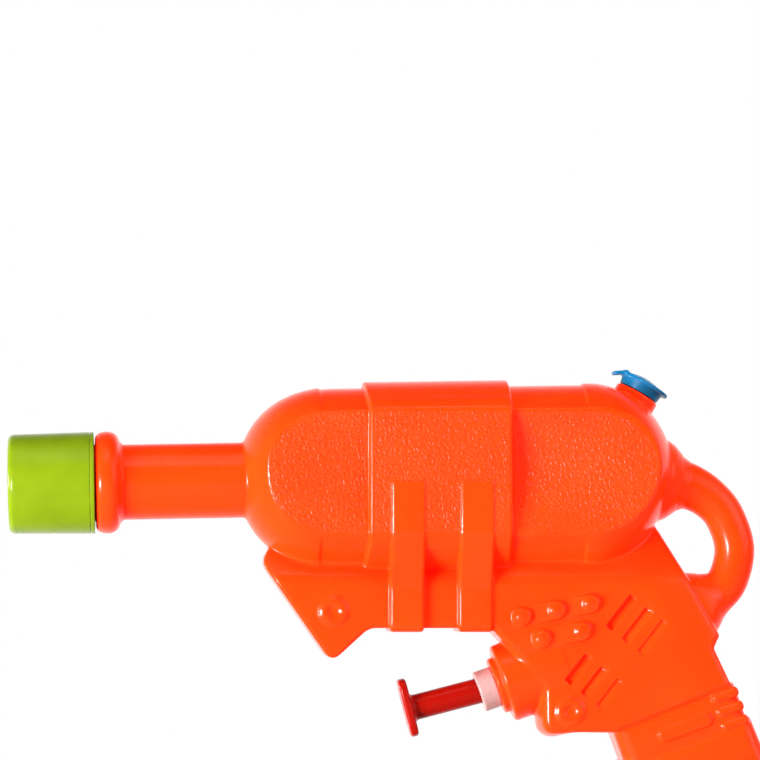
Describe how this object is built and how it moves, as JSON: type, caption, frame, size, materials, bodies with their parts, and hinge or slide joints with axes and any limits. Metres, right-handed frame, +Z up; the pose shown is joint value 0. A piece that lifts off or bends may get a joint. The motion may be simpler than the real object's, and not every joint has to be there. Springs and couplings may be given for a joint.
{
  "type": "water squirter",
  "caption": "Toy water pistol: hollow moulded body with a loop handle, push-in filler plug, sprung plunger trigger pump, ball valves and a capped muzzle with a jet nozzle.",
  "frame": {"origin": "middle of the grip's flat butt", "axes": "+X from the muzzle to the loop handle, +Y across the body, +Z up with the barrel level"},
  "size_m": [0.2864, 0.0504, 0.1965],
  "materials": {
    "orange_moulding": "soft gloss, leather grain on the tank sides",
    "green_cap": "gloss",
    "red_plunger": "gloss",
    "white_moulding": "natural, slightly see-through",
    "blue_plug": "gloss",
    "clear_hose": "clear",
    "black_rubber": "matt",
    "spring_steel": "bright"
  },
  "bodies": {
    "housing": {"body_shell": "orange_moulding", "muzzle_cap": "green_cap", "muzzle_seal": "black_rubber", "nozzle_body": "white_moulding", "nozzle_tip": "white_moulding", "outlet_spring": "spring_steel", "pump_gland": "white_moulding", "rod_seal": "black_rubber", "pump_washer": "black_rubber", "pump_cylinder": "white_moulding", "return_spring": "spring_steel", "ball_cage": "white_moulding", "inlet_fitting": "white_moulding", "pickup_hose": "clear_hose", "delivery_hose": "clear_hose"},
    "trigger": {"trigger_plunger": "red_plunger", "piston_seal": "black_rubber"},
    "plug": {"filler_plug": "blue_plug"},
    "inlet_valve": {"inlet_ball": "spring_steel"},
    "outlet_valve": {"outlet_ball": "spring_steel"}
  },
  "joints": [
    {"name": "trigger_slide", "type": "slide", "parent": "housing", "child": "trigger", "axis": [0.9681, 0, 0.2504], "range_m": [0, 0.018], "stiffness_N_per_m": 150, "springref_m": -0.008, "deforming": ["return_spring"]},
    {"name": "plug_pull", "type": "slide", "parent": "housing", "child": "plug", "axis": [0.5, 0, 0.866], "range_m": [0, 0.025]},
    {"name": "inlet_ball_lift", "type": "slide", "parent": "housing", "child": "inlet_valve", "axis": [-0.9681, 0, -0.2504], "range_m": [0, 0.0012]},
    {"name": "outlet_ball_lift", "type": "slide", "parent": "housing", "child": "outlet_valve", "axis": [-0.9998, 0, -0.0192], "range_m": [0, 0.0012], "stiffness_N_per_m": 30, "springref_m": -0.002, "deforming": ["outlet_spring"]}
  ]
}
